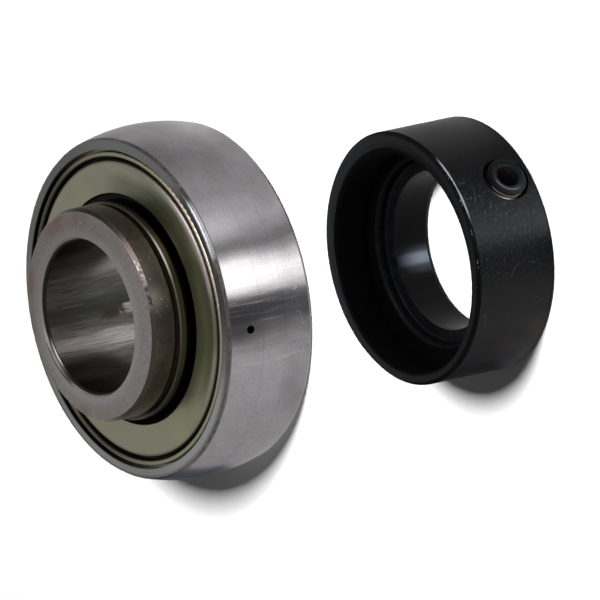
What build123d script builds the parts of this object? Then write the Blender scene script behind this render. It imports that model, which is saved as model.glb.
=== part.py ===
from build123d import *
import math
import os

# Insert ball bearing with a spherical outer ring and an eccentric locking collar.
# Millimetres. The origin is the centre of the ball-shaped seat, in the middle plane of the balls.
# +Z is the bearing's axis and points out of the extended end of the inner ring.
# The collar stands beside the bearing, level with its back face, with its recess upwards.

# Outer ring
outer_diameter = 52.0       # across the ball-shaped seat
outer_width = 15.0
outer_wall = 2.78           # steel between the seat and the bottom of the race
outer_race_depth = 1.60     # from the race's edge to its bottom
face_width = 1.32           # flat end face of the ring
edge_drop = 0.50            # corner bevel along the axis
edge_inset = 0.30           # corner bevel across the axis
oil_hole_diameter = 1.20
oil_hole_height = 4.00
oil_hole_angle = -98.0      # about Z, from +X

# Balls and races
ball_diameter = 7.9375
ball_count = 9
race_clearance = 0.02       # between a ball and each race
race_fit = 0.52             # race radius for each millimetre of ball diameter

# Inner ring
inner_wall = 4.13           # steel between the bottom of the race and the bore
inner_front = 14.50         # height of the front face
inner_race_depth = 1.70
bore_bevel = 0.60
lip_land_step = 0.95        # from the race's shoulder down to the land under the seal lips
shoulder_width = 4.70       # half length of the race's shoulders
land_bevel = 0.25

# Eccentric cam on the inner ring's front end
cam_diameter = 31.30
cam_offset = 0.80
cam_angle = -68.0
cam_length = 3.80
cam_bevel = 0.50
cam_back_bevel = 0.15
relief_width = 1.30         # turned groove between the cam and the land
relief_depth = 0.10         # below the cam's lowest side

# Ball cage: two pressed ribbons riveted together
cage_sheet = 0.50
cage_width = 2.60
pocket_clearance = 0.04
rivet_diameter = 1.20
rivet_head_diameter = 2.20
rivet_head_height = 0.45

# Seals, one at each end
cage_room = 0.54            # from the cage's pockets to the seal
inner_plate_sheet = 0.35
inner_plate_clearance = 0.05
plate_sheet = 0.32
plate_recess = 0.10         # the plate's flat below the ring's face
plate_gap = 0.95            # from the plate's hole to the inner ring's land
valley_width = 0.43
wall_slope = 0.35           # how far the plate's wall leans outwards
shoulder_round = 0.70       # middle of the sheet, as the two below
bend_round = 0.20
fold_round = 0.17
bead_slope = 0.20
bead_width = 0.38
bead_gap = 0.38             # from the mouth to the bead's outer fold
bead_recess = 0.15          # the bead's crest below the ring's face
rim_grip = 0.15             # how far the rim reaches under the ring's mouth
rim_clearance = 0.04
snap_clearance = 0.10
seal_flange = 0.39          # rubber between the two plates at the rim
seal_body_inset = 0.90      # rubber body short of the corner of the plate's flat
lip_root = 0.35             # rubber body back from the plate's hole
lip_clearance = 0.05
lip_tip = 0.25

# Eccentric locking collar
collar_diameter = 36.5
collar_width = 13.5
collar_bore_clearance = 0.39
collar_front_bevel = 0.50
collar_back_bevel = 0.30
collar_bore_bevel = 0.70
cam_clearance = 0.25        # between the cam and the recess
recess_mouth_bevel = 0.35
recess_angle = -164.0
recess_room = 0.50          # recess deeper than the cam and its groove
step_width = 1.80           # step between the recess's floor and the bore
step_depth = 1.60
step_round = 0.70
step_foot_round = 0.40
collar_apart = 23.50        # clear space between the ring and the collar
collar_side = 7.00

# Set screw in the collar
screw_diameter = 6.0
screw_length = 7.0
screw_proud = 0.80
screw_height = 4.40         # above the collar's back face
screw_angle = -57.0
screw_clearance = 0.05
screw_crown_bevel = 0.55
screw_point_bevel = 0.70
screw_cup_radius = 1.50
screw_cup_depth = 0.80
socket_across_flats = 3.0
socket_depth = 3.5
socket_mouth_bevel = 0.20
countersink_rim = 0.55      # countersink wider than the threaded hole, all round
countersink_depth = 0.85

# Worked out from the sizes above
face_height = outer_width / 2
seat_radius = outer_diameter / 2
ball_radius = ball_diameter / 2
race_round = race_fit * ball_diameter
outer_race_radius = seat_radius - outer_wall
outer_land_radius = outer_race_radius - outer_race_depth
pitch_radius = outer_race_radius - race_clearance - ball_radius
inner_race_radius = pitch_radius - ball_radius - race_clearance
inner_shoulder_radius = inner_race_radius + inner_race_depth
land_radius = inner_shoulder_radius - lip_land_step
bore_radius = inner_race_radius - inner_wall

edge_height = face_height - edge_drop
edge_radius = math.sqrt(seat_radius**2 - edge_height**2)
face_radius = edge_radius - edge_inset
mouth_radius = face_radius - face_width

pocket_radius = ball_radius + pocket_clearance
seal_seat_height = pocket_radius + cage_sheet + cage_room
flange_height = seal_seat_height + inner_plate_sheet
rim_height = flange_height + seal_flange + plate_sheet / 2
flat_height = face_height - plate_recess - plate_sheet / 2
bead_height = face_height - bead_recess - plate_sheet / 2
hole_radius = land_radius + plate_gap
fold_radius = mouth_radius - bead_gap - plate_sheet / 2
crest_radius = fold_radius - bead_width
bead_foot_radius = crest_radius - bead_slope
valley_radius = bead_foot_radius - valley_width
shoulder_radius = valley_radius - wall_slope
rim_radius = mouth_radius + rim_grip
plate_seat_radius = fold_radius + plate_sheet / 2
snap_radius = rim_radius + snap_clearance

cam_radius = cam_diameter / 2
cam_height = inner_front - cam_length
relief_height = cam_height - relief_width
relief_radius = cam_radius - cam_offset - relief_depth

collar_radius = collar_diameter / 2
collar_bore_radius = bore_radius + collar_bore_clearance
recess_radius = cam_radius + cam_clearance
recess_depth = cam_length + relief_width + recess_room
recess_floor = collar_width - recess_depth
step_radius = collar_bore_radius + step_width
step_floor = recess_floor - step_depth
collar_place = Pos(collar_side, -(seat_radius + collar_radius + collar_apart), -face_height)
screw_radius = screw_diameter / 2
thread_radius = screw_radius + screw_clearance


def turned(outline):
    """Solid of revolution about Z from a closed outline of radius and height."""
    return revolve(Plane.XZ * make_face(outline.edges()), Axis.Z)


def race_edge(depth):
    """Half width of a race groove of the given depth."""
    return math.sqrt(race_round**2 - (race_round - depth)**2)


def polar(radius, angle):
    """Point at a radius and an angle in degrees about Z."""
    return radius * math.cos(math.radians(angle)), radius * math.sin(math.radians(angle))


def outer_ring():
    """Ring with a ball-shaped seat outside, a deep race inside and a seal seat at each end."""
    half_race = race_edge(outer_race_depth)
    groove_top = rim_height + plate_sheet / 2 + rim_clearance
    groove_foot = rim_height - plate_sheet / 2 - rim_clearance
    front = [
        (outer_land_radius, half_race),
        (outer_land_radius, seal_seat_height),
        (plate_seat_radius, seal_seat_height),
        (plate_seat_radius, groove_foot),
        (snap_radius, groove_foot),
        (snap_radius, groove_top),
        (mouth_radius, groove_top),
        (mouth_radius, face_height),
        (face_radius, face_height),
        (edge_radius, edge_height),
    ]
    back = [(radius, -height) for radius, height in front]
    outline = Polyline(*front) + Polyline(*back)
    outline += ThreePointArc(front[-1], (seat_radius, 0), back[-1])
    outline += ThreePointArc(front[0], (outer_race_radius, 0), back[0])
    ring = turned(outline)
    drill = Cylinder(oil_hole_diameter / 2, seat_radius, align=(Align.CENTER, Align.CENTER, Align.MIN))
    hole = Pos(0, 0, oil_hole_height) * Rot(0, 0, oil_hole_angle) * Rot(0, 90, 0) * drill
    return ring - hole


def cam():
    """Eccentric drum on the inner ring that the collar's recess turns on to."""
    drum = Cylinder(cam_radius, cam_length, align=(Align.CENTER, Align.CENTER, Align.MIN))
    drum = chamfer(drum.edges().sort_by(Axis.Z)[-1], cam_bevel)
    drum = chamfer(drum.edges().sort_by(Axis.Z)[0], cam_back_bevel)
    return Pos(*polar(cam_offset, cam_angle), cam_height) * drum


def inner_ring():
    """Extended ring with the inner race, a land for each seal lip and the cam in front."""
    half_race = race_edge(inner_race_depth)
    front = [
        (inner_shoulder_radius, half_race),
        (inner_shoulder_radius, shoulder_width),
        (land_radius, shoulder_width),
        (land_radius, relief_height - land_bevel),
        (land_radius - land_bevel, relief_height),
        (relief_radius, relief_height),
        (relief_radius, cam_height),
        (0, cam_height),
    ]
    back = [
        (inner_shoulder_radius, -half_race),
        (inner_shoulder_radius, -shoulder_width),
        (land_radius, -shoulder_width),
        (land_radius, -face_height + land_bevel),
        (land_radius - land_bevel, -face_height),
        (0, -face_height),
    ]
    outline = Polyline(*front) + Polyline(*back) + Line(front[-1], back[-1])
    outline += ThreePointArc(front[0], (inner_race_radius, 0), back[0])
    bore_mouth = bore_radius + bore_bevel
    bore = turned(Polyline(
        (0, -face_height),
        (bore_mouth, -face_height),
        (bore_radius, -face_height + bore_bevel),
        (bore_radius, inner_front - bore_bevel),
        (bore_mouth, inner_front),
        (0, inner_front),
        close=True,
    ))
    return turned(outline) + cam() - bore


def ball(number):
    """One ball on the pitch circle."""
    return Rot(0, 0, 360 / ball_count * number) * Pos(pitch_radius, 0, 0) * Sphere(ball_radius)


def rivet():
    """Rivet with a domed head at each end, standing on the middle plane."""
    head = rivet_head_diameter / 2
    shank = rivet_diameter / 2
    crown = cage_sheet + rivet_head_height
    mid_head = (head * math.sqrt(0.5), cage_sheet + rivet_head_height * math.sqrt(0.5))
    outline = Polyline((0, crown), (0, -crown))
    outline += Polyline((head, cage_sheet), (shank, cage_sheet), (shank, -cage_sheet), (head, -cage_sheet))
    outline += ThreePointArc((0, crown), mid_head, (head, cage_sheet))
    outline += ThreePointArc((0, -crown), (mid_head[0], -mid_head[1]), (head, -cage_sheet))
    return turned(outline)


def between_balls(thing):
    """Copies of a thing on the pitch circle, half way between the balls."""
    copies = []
    for number in range(ball_count):
        turn = Rot(0, 0, 360 / ball_count * (number + 0.5))
        copies.append(turn * Pos(pitch_radius, 0, 0) * thing)
    return copies


def cage_half():
    """Pressed ribbon with a round pocket over each ball and a riveted web between pockets."""
    inside = pitch_radius - cage_width / 2
    outside = pitch_radius + cage_width / 2
    base = (Align.CENTER, Align.CENTER, Align.MIN)
    height = pocket_radius + cage_sheet
    web = Cylinder(outside, cage_sheet, align=base)
    domes = []
    pockets = []
    for number in range(ball_count):
        place = Rot(0, 0, 360 / ball_count * number) * Pos(pitch_radius, 0, 0)
        domes.append(place * Sphere(pocket_radius + cage_sheet))
        pockets.append(place * Sphere(pocket_radius))
    band = Cylinder(outside, height, align=base) - Cylinder(inside, height, align=base)
    ribbon = (web + domes) & band
    return ribbon - pockets - between_balls(Cylinder(rivet_diameter / 2, outside))


def seal_plate():
    """Pressed cover: raised flat, rolled shoulder, valley, folded bead and snapped-in rim."""
    run = FilletPolyline(
        (hole_radius + plate_sheet / 2, flat_height),
        (shoulder_radius, flat_height),
        (valley_radius, rim_height),
        (bead_foot_radius, rim_height),
        (crest_radius, bead_height),
        (fold_radius, bead_height),
        (fold_radius, rim_height),
        (rim_radius - plate_sheet / 2, rim_height),
        radius=[shoulder_round, bend_round, bend_round, fold_round, fold_round, bend_round],
    )
    return turned(run.wire().offset_2d(plate_sheet / 2, kind=Kind.INTERSECTION, side=Side.BOTH))


def seal_lip():
    """Moulded rubber between the two plates, with two lips on the inner ring's land."""
    body = hole_radius + lip_root
    tip = land_radius + lip_clearance
    under_flat = flat_height - plate_sheet / 2
    under_rim = rim_height - plate_sheet / 2
    body_height = under_flat - flange_height
    upper = flange_height + body_height * 0.5
    return turned(Polyline(
        (plate_seat_radius - bead_gap, flange_height),
        (plate_seat_radius - bead_gap, under_rim),
        (shoulder_radius - seal_body_inset, under_rim),
        (shoulder_radius - seal_body_inset, under_flat),
        (body, under_flat),
        (tip, upper),
        (tip, upper - lip_tip),
        (body, upper),
        (body, flange_height + lip_tip * 2),
        (tip, flange_height + lip_tip),
        (tip, flange_height),
        close=True,
    ))


def seal_inner_plate():
    """Flat washer that backs the rubber, seated on the outer ring's inner shoulder."""
    inside = hole_radius + lip_root
    outside = plate_seat_radius - inner_plate_clearance
    return turned(Polyline(
        (inside, seal_seat_height),
        (outside, seal_seat_height),
        (outside, flange_height),
        (inside, flange_height),
        close=True,
    ))


def screw_frame():
    """Place of the set screw: on the collar's surface, local Z pointing out along the screw."""
    facing = Rot(0, 0, screw_angle) * Rot(0, 90, 0)
    return collar_place * Pos(0, 0, screw_height) * facing * Pos(0, 0, collar_radius)


def locking_collar():
    """Thick ring with an eccentric recess, a rounded step, a bore and a screw hole."""
    body = turned(Polyline(
        (0, 0),
        (collar_radius - collar_back_bevel, 0),
        (collar_radius, collar_back_bevel),
        (collar_radius, collar_width - collar_front_bevel),
        (collar_radius - collar_front_bevel, collar_width),
        (0, collar_width),
        close=True,
    ))
    mouth = recess_radius + recess_mouth_bevel
    recess = turned(Polyline(
        (0, recess_floor),
        (recess_radius, recess_floor),
        (recess_radius, collar_width - recess_mouth_bevel),
        (mouth, collar_width),
        (0, collar_width),
        close=True,
    ))
    recess = Pos(*polar(cam_offset, recess_angle), 0) * recess
    floor_round = step_radius + step_round
    wall_foot = step_floor + step_foot_round
    foot = step_radius - step_foot_round
    way = Polyline(
        (0, 0),
        (collar_bore_radius + collar_bore_bevel, 0),
        (collar_bore_radius, collar_bore_bevel),
        (collar_bore_radius, step_floor),
        (foot, step_floor),
    )
    way += RadiusArc((foot, step_floor), (step_radius, wall_foot), -step_foot_round)
    way += Line((step_radius, wall_foot), (step_radius, recess_floor - step_round))
    way += RadiusArc((step_radius, recess_floor - step_round), (floor_round, recess_floor), step_round)
    way += Polyline((floor_round, recess_floor), (0, recess_floor), (0, 0))
    through = turned(way)
    place = screw_frame()
    hole = place * Cylinder(thread_radius, 2 * collar_radius)
    mouth_cone = Cone(thread_radius, thread_radius + 2 * countersink_rim, 2 * countersink_depth)
    return collar_place * (body - recess - through) - hole - place * mouth_cone


def set_screw():
    """Cup-point screw with a hexagon socket, a little proud of the collar."""
    top = screw_proud
    point = screw_proud - screw_length
    body = turned(Polyline(
        (0, top),
        (screw_radius - screw_crown_bevel, top),
        (screw_radius, top - screw_crown_bevel),
        (screw_radius, point + screw_point_bevel),
        (screw_radius - screw_point_bevel, point),
        (screw_cup_radius, point),
        (0, point + screw_cup_depth),
        close=True,
    ))
    corner = socket_across_flats / math.sqrt(3)
    hexagon = RegularPolygon(corner, 6)
    socket = Pos(0, 0, top - socket_depth) * extrude(hexagon, socket_depth)
    mouth = corner + socket_mouth_bevel
    lead_in = Pos(0, 0, top - mouth / 2) * Cone(0, mouth, mouth)
    return screw_frame() * (body - socket - lead_in)


def build():
    """Every piece under its own name."""
    half = cage_half()
    pieces = {
        "outer_ring": outer_ring(),
        "inner_ring": inner_ring(),
        "cage_front_half": half,
        "cage_back_half": mirror(half, Plane.XY),
        "cage_rivets": Compound(children=between_balls(rivet())),
        "locking_collar": locking_collar(),
        "set_screw": set_screw(),
    }
    for number in range(ball_count):
        pieces[f"ball_{number + 1}"] = ball(number)
    seals = {"seal_plate": seal_plate(), "seal_lip": seal_lip(), "seal_inner_plate": seal_inner_plate()}
    for name, piece in seals.items():
        pieces["front_" + name] = piece
        pieces["back_" + name] = mirror(piece, Plane.XY)
    return pieces


def main():
    os.makedirs("parts", exist_ok=True)
    for name, piece in build().items():
        export_step(piece, f"parts/{name}.step")


main()
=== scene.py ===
import math

import bmesh
import bpy
from bpy.props import FloatProperty, FloatVectorProperty, IntProperty, PointerProperty
from mathutils import Matrix, Vector


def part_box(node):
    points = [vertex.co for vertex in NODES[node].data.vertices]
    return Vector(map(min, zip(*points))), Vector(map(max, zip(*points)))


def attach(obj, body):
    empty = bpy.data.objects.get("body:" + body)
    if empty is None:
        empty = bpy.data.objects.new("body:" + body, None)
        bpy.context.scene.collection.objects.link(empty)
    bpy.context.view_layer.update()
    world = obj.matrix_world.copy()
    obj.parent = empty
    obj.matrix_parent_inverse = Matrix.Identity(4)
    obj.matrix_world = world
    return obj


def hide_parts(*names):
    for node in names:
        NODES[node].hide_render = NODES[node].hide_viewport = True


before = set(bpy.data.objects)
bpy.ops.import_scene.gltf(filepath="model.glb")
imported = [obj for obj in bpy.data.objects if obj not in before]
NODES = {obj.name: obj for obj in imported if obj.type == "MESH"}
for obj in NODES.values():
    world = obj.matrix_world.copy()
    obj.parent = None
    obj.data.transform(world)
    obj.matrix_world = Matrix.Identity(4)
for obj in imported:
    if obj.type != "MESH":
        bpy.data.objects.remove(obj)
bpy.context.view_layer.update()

bl_info = {
    "name": "Insert bearing dresser",
    "version": (1, 0, 0),
    "blender": (4, 5, 0),
    "location": "3D View > Sidebar > Bearing",
    "description": "Gives an insert bearing and its locking collar their finishes, thread and studio",
    "category": "Object",
}

MM = 0.001
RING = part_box("outer_ring")
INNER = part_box("inner_ring")
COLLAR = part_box("locking_collar")
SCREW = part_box("set_screw")

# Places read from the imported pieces, in millimetres
SEAT_RADIUS = (RING[1].x - RING[0].x) / 2 / MM
FACE_HEIGHT = RING[1].z / MM
FRONT_HEIGHT = INNER[1].z / MM
COLLAR_AXIS = tuple((COLLAR[0][side] + COLLAR[1][side]) / 2 / MM for side in (0, 1))
COLLAR_RADIUS = (COLLAR[1].x - COLLAR[0].x) / 2 / MM
COLLAR_FRONT = COLLAR[1].z / MM
FLOOR_HEIGHT = RING[0].z / MM
SCREW_HEIGHT = (SCREW[0].z + SCREW[1].z) / 2 / MM

# The bearing's axis, and how far and which way the cam lies off it, in millimetres and degrees
AXIS = (0.0, 0.0)
CAM_OFFSET = 0.8
CAM_ANGLE = math.radians(-68)
CAM_AXIS = (CAM_OFFSET * math.cos(CAM_ANGLE), CAM_OFFSET * math.sin(CAM_ANGLE))

# The side of the collar that the set screw is in, in degrees
SCREW_ANGLE = -57.0

# Radii of worn edges, of the ring's mouth where the face gets painted shade, of the start of the rounding on
# the ring's outer bevel and of the painted glint at the bore's edge, in millimetres
RING_EDGE = 24.92
RING_MOUTH = 23.50
RING_BEVEL_START = 24.22
CAM_EDGE = 15.40
BORE_EDGE = 11.13

# Radii between which one finish gives way to the next, in millimetres. In the collar's recess, the screw's
# socket and round its shoulder, the next one is painted shade.
SEAT_SIDE = (24.7, 24.9)
CAM_SIDE = (13.0, 14.0)
INNER_FACE = (11.6, 11.75)
BORE_MOUTH = (11.95, 11.80)
BORE = (11.35, 11.2)
COLLAR_FACE = (15.9, 16.1)
COLLAR_RECESS = (16.9, 16.6)
COLLAR_STEP = (13.4, 14.2)
COLLAR_BORE = (12.2, 11.9)
SCREW_SOCKET = (1.80, 1.68)
SCREW_SHOULDER = (2.50, 2.62)
SCREW_THREAD = (2.55, 2.9)

# Heights between which one finish gives way to the next, in millimetres. Below the land's end the land is
# painted shade, and so is the plate's groove below its face.
SEAT_END = (7.04, 6.98)
MOUTH_DEPTH = (13.6, 13.9)
CAM_FOOT = (10.6, 10.75)
LAND_END = (8.55, 8.25)
PLATE_DEPTH = (7.28, 6.95)

# Bands, by the radii or heights of their two sides, in millimetres. The plate's valley and the oil hole are
# painted shade, the cam's groove painted light and its crests painted highlights.
PLATE_SHOULDER = (20.95, 21.9)
PLATE_VALLEY = (21.55, 22.5)
PLATE_BEAD = (22.4, 23.1)
OIL_HOLE = (22.5, 25.9)
GROOVE = (9.55, 10.58)
GROOVE_CRESTS = ((9.20, 9.36), (10.74, 10.84))

# The set screw, in millimetres. The crown stands out of the collar, and the thread fades at both ends.
SOCKET_FLAT = 1.5
SOCKET_DEPTH = 3.5
SCREW_RADIUS = 3.0
SCREW_LENGTH = 7.0
SCREW_CROWN = 0.80
CROWN_ROUNDING = 0.65
CROWN_ROWS = 8
SHAFT_ROWS = 64
POINT_BEVEL = 0.70
CUP_RADIUS = 1.5
THREAD_FADE = 0.6

# The studio's radii and heights in millimetres, then its places and sizes in metres
FLOOR_RADIUS = 900
CANOPY_RADIUS = 700
CARD_LIFT = 0.05
LAMP_PLACE = Vector((0.26, -0.275, 0.65))
LAMP_AIM = Vector((0.0, -0.03, 0.0))
LAMP_SIZE = (0.20, 0.06)
CAMERA_AIM = Vector((-2.641, -10.906, -15.400)) * MM

# Strength of the floor's own light, which only the camera, mirrors and glass see
FLOOR_GLOW = 0.02

# Direction of the soft box, and the cosines of the angles from it where its light begins and is full
SOFT_BOX = (0.600, -0.281, 0.749)
SOFT_BOX_REACH = (math.cos(math.radians(19)), math.cos(math.radians(9)))

# Tints of the brightest and the darkest levels, and the colour of dust and lint on the seat
HIGHLIGHT_TINT = (1.0, 1.012, 0.985)
SHADOW_TINT = (0.96, 1.01, 1.08)
PALE_DUST = (0.98, 0.97, 0.98)

# Painted shade on the ring's face, by the angle about its axis in degrees: how much of its colour the face
# shows
RING_FACE_PAINTED_SHADE = [
    (-180, 0.80), (-150, 0.93), (-120, 0.90), (-105, 0.53), (-90, 0.03), (-75, 0.08), (-60, 0.10),
    (-45, 0.34), (-30, 0.19), (0, 0.20), (30, 0.165), (60, 0.27), (90, 0.54), (120, 0.75), (150, 0.95),
    (180, 0.80),
]
# Painted reflections: how bright the smeared bore's colour is, by the angle about the axis in degrees
BORE_PAINTED_REFLECTIONS = [
    (-180, 0.15), (-150, 0.70), (-120, 0.95), (-30, 0.95), (-5, 0.50), (20, 0.05), (42, 0.03), (50, 0.13),
    (57, 0.33), (63, 0.36), (68, 0.17), (73, 0.10), (79, 0.09), (85, 0.03), (90, 0.005), (96, 0.03),
    (102, 0.13), (108, 0.20), (112, 0.56), (118, 0.58), (122, 0.36), (127, 0.20), (133, 0.12), (139, 0.10),
    (147, 0.07), (165, 0.04), (180, 0.15),
]
# What the seat mirrors, from the camera's side, and the factors for the card's top and its foot
TENT = [
    (-180, 0.30), (-160, 0.30), (-148, 0.12), (-108, 0.07), (-101, 0.10), (-92, 0.34), (-75, 0.39),
    (-30, 0.49), (-24, 0.34), (-18, 0.18), (-13, 0.085), (-8, 0.085), (-5.5, 0.20), (-2.5, 1.10), (0.5, 1.75),
    (4.5, 1.85), (8, 1.40), (11.5, 0.62), (14, 0.28), (16, 0.27), (19.5, 0.42), (26, 0.60), (33, 0.52),
    (40, 0.40), (60, 0.29), (80, 0.40), (103, 0.38), (120, 0.37), (140, 0.32), (160, 0.30), (180, 0.30),
]
TENT_TOP = [
    (-180, 1.0), (-26, 1.0), (-20, 0.45), (-14, 0.55), (-8, 0.75), (-4, 1.3), (1, 1.1), (6, 1.1), (9.7, 1.4),
    (14, 1.05), (17, 1.05), (21.7, 1.54), (27.7, 1.22), (33.7, 1.04), (45, 1.0), (57, 0.95), (63.7, 0.78),
    (69.7, 0.66), (75.7, 0.60), (81.7, 0.68), (87.7, 0.85), (93.7, 0.92), (100, 0.72), (125, 0.8), (180, 1.0),
]
TENT_FOOT = [
    (-180, 1.0), (-62, 0.95), (-50, 0.80), (-44, 0.72), (-38, 0.84), (-32, 0.84), (-26, 1.0), (-20, 1.4),
    (-8, 1.45), (-3, 0.8), (3.7, 0.85), (9.7, 0.65), (15.7, 1.0), (22, 1.05), (27.7, 0.82), (34, 0.82),
    (40, 0.92), (52, 1.12), (58, 1.25), (63.7, 1.40), (70, 1.42), (75.7, 1.35), (82, 1.35), (88, 1.25),
    (94, 1.1), (100, 1.1), (180, 1.0),
]
COLLAR_TENT = [
    (-180, 0.20), (-120, 0.03), (-95, 0.02), (-80, 0.10), (-65, 0.22), (-50, 0.42), (-30, 0.50), (-18, 0.30),
    (-12, 0.12), (-7, 0.10), (-4, 0.40), (0, 1.20), (4, 1.60), (8, 1.35), (12, 0.95), (17, 0.75), (24, 0.34),
    (33, 0.14), (45, 0.14), (60, 0.24), (75, 0.26), (90, 0.21), (100, 0.20), (115, 0.20), (140, 0.25),
    (160, 0.20), (180, 0.20),
]
# What the two bores mirror, and the level of the cards at the feet of the seat and the collar
WELL = [(-180, 0.55), (-120, 0.75), (-60, 0.60), (0, 0.70), (60, 0.60), (120, 0.70), (180, 0.55)]
COLLAR_WELL = [(-180, 0.80), (180, 0.80)]
FOOT = [(-180, 0.10), (180, 0.10)]


# Sizes and colours that a user would change


def colour(name, text, value):
    return FloatVectorProperty(
        name=name, description=text, subtype="COLOR", size=3, min=0, max=1, default=value,
    )


def share(name, text, value, top=1.0):
    return FloatProperty(name=name, description=text, subtype="FACTOR", min=0, max=top, default=value)


def length(name, text, value, least):
    return FloatProperty(name=name, description=text, unit="LENGTH", min=least, default=value)


def angle(name, text, degrees):
    return FloatProperty(name=name, description=text, unit="ROTATION", default=math.radians(degrees))


class BearingSteelSettings(bpy.types.PropertyGroup):
    seat: colour("Ground seat", "Ball-shaped seat of the outer ring", (0.58, 0.555, 0.575))
    face: colour("Ring face", "End face of the outer ring", (0.52, 0.525, 0.505))
    front: colour("Inner face", "Front face of the inner ring", (0.425, 0.395, 0.385))
    cam: colour("Cam", "Side of the eccentric cam", (0.165, 0.135, 0.112))
    land: colour("Land", "Land under the seal lip, dulled by grease", (0.075, 0.066, 0.050))
    bore: colour("Bore", "Bore of the inner ring", (0.74, 0.70, 0.69))
    rust: colour("Rust tint", "Thin rust and old oil", (0.36, 0.22, 0.15))
    roughness: share("Seat roughness", "Roughness of the ground seat", 0.16)
    wear: share("Edge wear", "Share of the bevels that is nicked bright", 0.55)


class SealSettings(bpy.types.PropertyGroup):
    plate: colour("Plate", "Zinc plate of the seals", (0.485, 0.465, 0.345))
    # The plate shade is painted light and shade: the colour of one side of the plate, set for how bright that
    # side renders
    shade: colour("Plate shade", "Darker, older side of the plate", (0.50, 0.52, 0.33))
    rubber: colour("Rubber", "Seal lips", (0.012, 0.012, 0.012))
    roughness: share("Plate roughness", "Roughness of the plate", 0.36)


class CollarSettings(bpy.types.PropertyGroup):
    oxide: colour("Black oxide", "Finish of the collar and screw", (0.0018, 0.0019, 0.0022))
    # The worn colour paints both the real worn edge and the painted highlight line along the collar's front
    # edge
    worn: colour("Worn edge", "Steel that shows where the finish is rubbed off", (0.25, 0.25, 0.27))
    # The thread's bronze is laid only on its lit side: real wear with painted light
    thread: colour("Thread crest", "Bronze wear on the set screw's thread", (0.30, 0.24, 0.20))
    roughness: share("Roughness", "Roughness of the black oxide", 0.34)
    pitch: length("Thread pitch", "Rise of the set screw's thread in one turn", 1.0 * MM, 0.2 * MM)
    depth: length("Thread depth", "Height of the thread's ridge", 0.60 * MM, 0.1 * MM)
    steps: IntProperty(
        name="Steps in a turn", description="Faces round one turn of the thread, a multiple of six",
        default=72, min=12, max=144,
    )


class StudioSettings(bpy.types.PropertyGroup):
    floor: colour("Floor", "Plain pale floor", (0.90, 0.90, 0.90))
    backdrop: colour("Background", "Plain background", (1.0, 1.0, 1.0))
    fill: FloatProperty(
        name="Fill", description="Strength of the even light from all round", default=0.03, min=0,
    )
    key: FloatProperty(
        name="Key lamp", description="Power of the large soft lamp", subtype="POWER", default=8.3, min=0,
    )
    canopy: share("Canopy", "Brightness of the grey canopy that the end faces mirror", 0.405, 2.0)
    soft_box: share("Soft box", "Brightness of the soft box that the rounded edges mirror", 3.6, 20.0)
    azimuth: angle("Camera azimuth", "0 looks along +Y", 6.936)
    elevation: angle("Camera elevation", "Above the floor", 34.724)
    roll: angle("Camera roll", "Turn of the camera about its view", -102.055)
    distance: length("Camera distance", "From the point that the camera looks at", 2.892, 0.1)
    lens: FloatProperty(name="Lens", description="Focal length in millimetres", default=1200, min=20)


# Node trees


def placing(operation, swapped=False):
    """A Python operator that places a Math node."""
    def place(self, other=0.0):
        return self.tree.math(operation, *((other, self) if swapped else (self, other)))
    return place


class Value:
    """A number that changes over a surface or a mesh. Arithmetic on it places Math nodes in its tree."""

    def __init__(self, tree, socket):
        self.tree = tree
        self.socket = socket

    __add__ = __radd__ = placing("ADD")
    __sub__ = placing("SUBTRACT")
    __rsub__ = placing("SUBTRACT", swapped=True)
    __mul__ = __rmul__ = placing("MULTIPLY")
    __truediv__ = placing("DIVIDE")
    __pow__ = placing("POWER")
    __abs__ = placing("ABSOLUTE")


# Shared node groups, by the functions that build them
GROUPS = {}


def label(name):
    """Name of a socket from a plain Python name."""
    return name.replace("_", " ").capitalize()


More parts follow.
